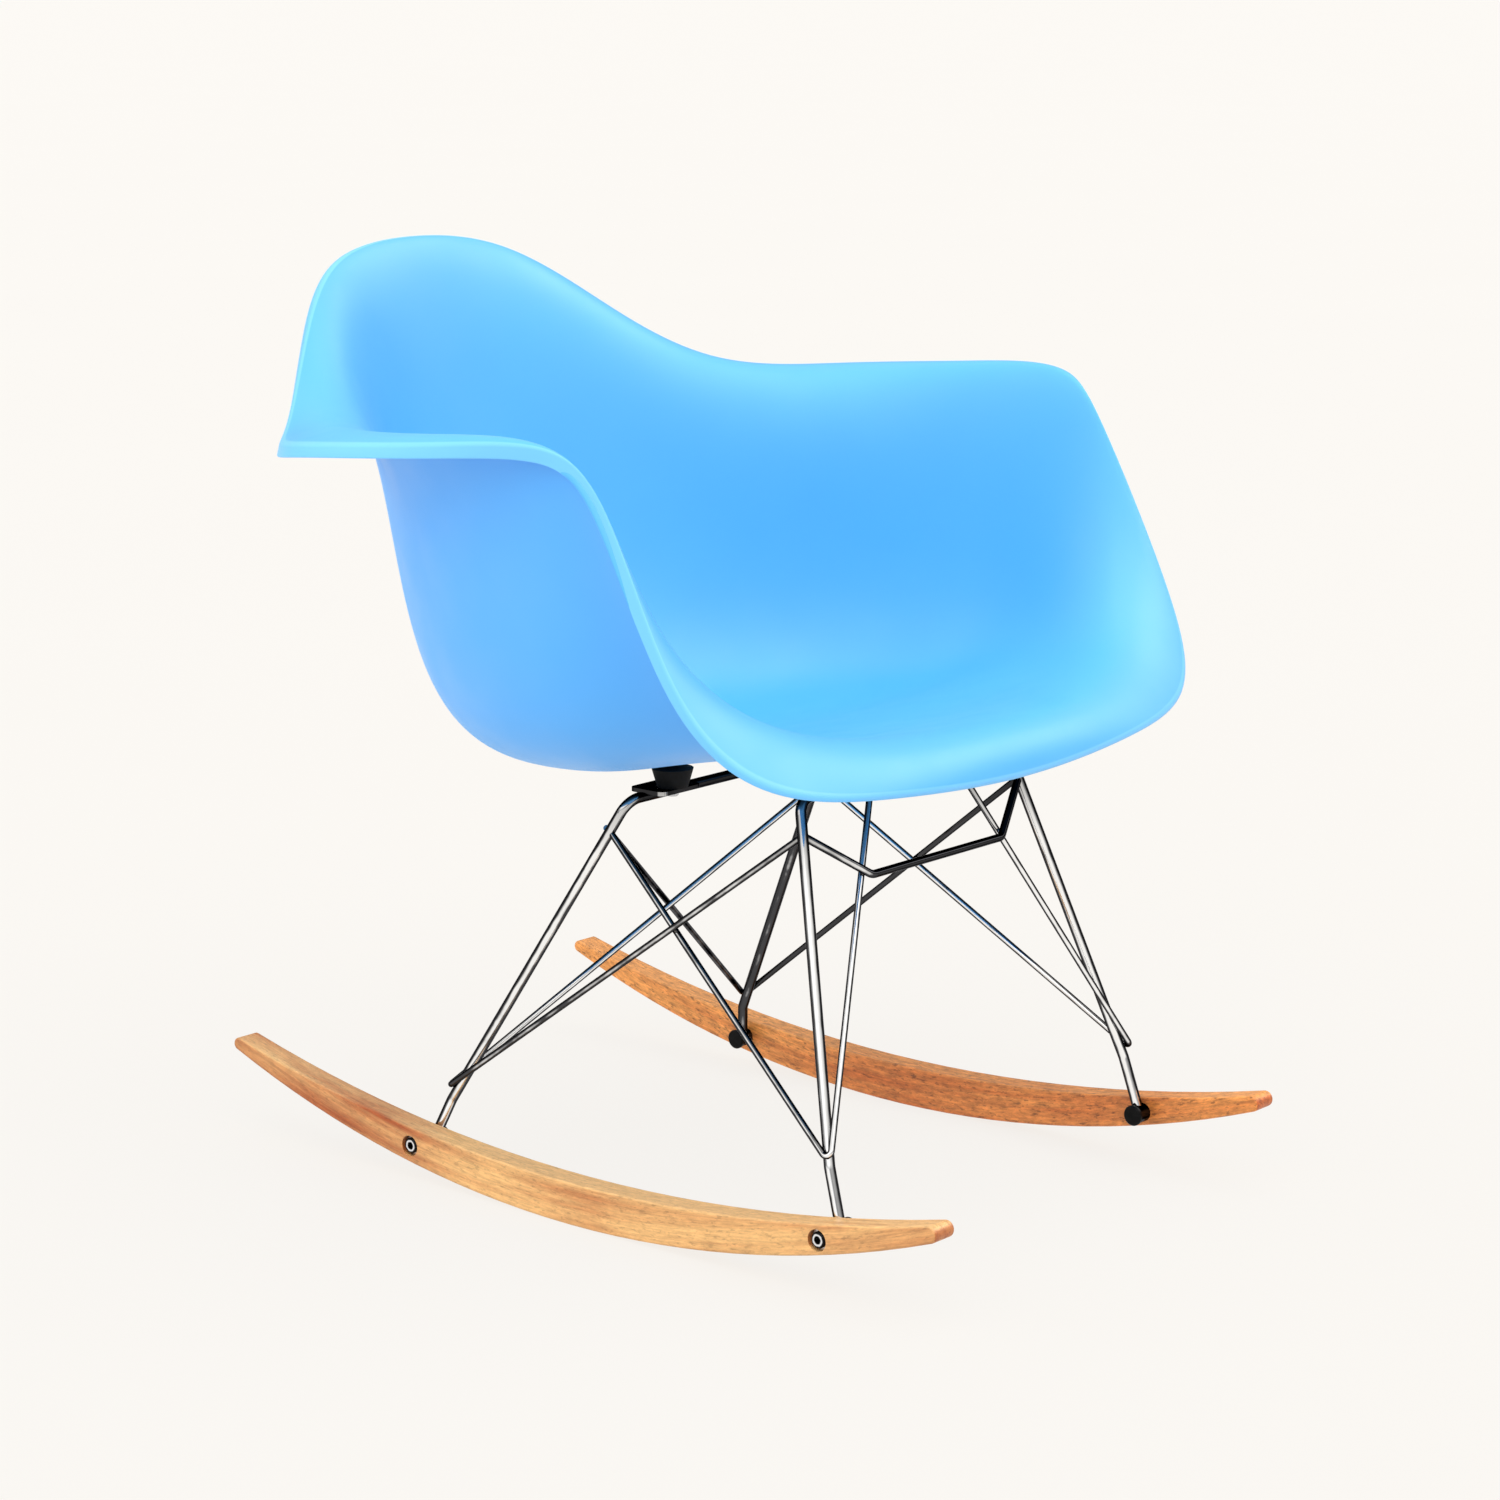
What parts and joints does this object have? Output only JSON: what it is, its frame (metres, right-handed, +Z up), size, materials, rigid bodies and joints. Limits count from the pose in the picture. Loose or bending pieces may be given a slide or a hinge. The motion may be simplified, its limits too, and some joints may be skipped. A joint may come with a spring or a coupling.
{
  "type": "rocking chair",
  "caption": "Moulded plastic armchair shell on a cross-braced bent-wire base with bowed wooden rockers; the whole chair rocks on the floor.",
  "frame": {"origin": "on the floor midway between the two lines where the rockers touch it", "axes": "+X to the chair's front, +Y to its left, +Z up"},
  "size_m": [0.6903, 0.6404, 0.6829],
  "materials": {
    "blue_plastic": "satin",
    "beech": "satin",
    "chrome_rod": "polished",
    "zinc_steel": "bright",
    "black_rubber": "matt",
    "black_plastic": "satin"
  },
  "bodies": {
    "root": {"left_rocker": "beech", "right_rocker": "beech", "front_leg_frame": "chrome_rod", "rear_leg_frame": "chrome_rod", "front_stretcher": "chrome_rod", "front_left_brace": "chrome_rod", "front_left_leg_barrel": "chrome_rod", "front_left_barrel_cap": "black_plastic", "front_left_mount_plate": "chrome_rod", "front_left_shock_mount": "black_rubber", "front_right_brace": "chrome_rod", "front_right_leg_barrel": "chrome_rod", "front_right_barrel_cap": "black_plastic", "front_right_mount_plate": "chrome_rod", "front_right_shock_mount": "black_rubber", "rear_left_brace": "chrome_rod", "rear_left_leg_barrel": "chrome_rod", "rear_left_barrel_cap": "black_plastic", "rear_left_mount_plate": "chrome_rod", "rear_left_shock_mount": "black_rubber", "rear_right_brace": "chrome_rod", "rear_right_leg_barrel": "chrome_rod", "rear_right_barrel_cap": "black_plastic", "rear_right_mount_plate": "chrome_rod", "rear_right_shock_mount": "black_rubber", "rocker_bolts": "zinc_steel", "bolt_washers": "zinc_steel", "mount_inserts": "zinc_steel", "mount_washers": "zinc_steel", "mount_screws": "zinc_steel", "seat_shell": "blue_plastic"}
  },
  "joints": []
}
